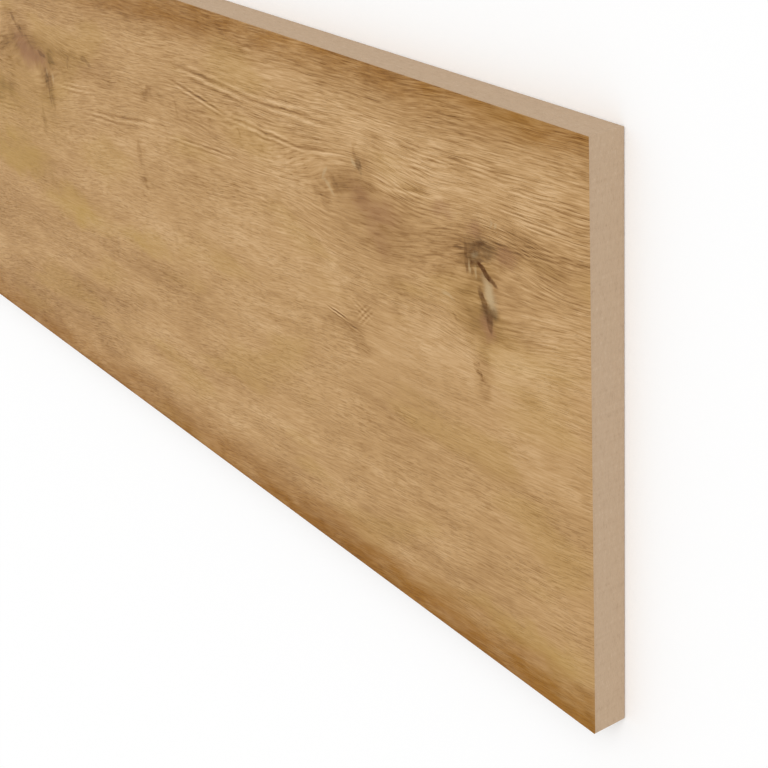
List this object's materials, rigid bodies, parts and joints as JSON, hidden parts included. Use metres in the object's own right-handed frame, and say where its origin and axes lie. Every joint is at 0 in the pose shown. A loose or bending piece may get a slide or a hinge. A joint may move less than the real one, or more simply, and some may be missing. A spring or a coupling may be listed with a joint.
{
  "type": "stair riser board",
  "caption": "Flat rectangular stair riser board of bare-edged fibreboard with an oak-look laminate on its front face, for closing the upright of a step.",
  "frame": {"origin": "on the floor under the middle of the board, which lies on its back", "axes": "+X along the board, +Y up the riser as it is fitted, +Z out of the decor face"},
  "size_m": [1.2, 0.18, 0.012],
  "materials": {
    "fibreboard": "matte",
    "oak_decor": "matte"
  },
  "bodies": {
    "root": {"core_board": "fibreboard", "decor_laminate": "oak_decor"}
  },
  "joints": []
}
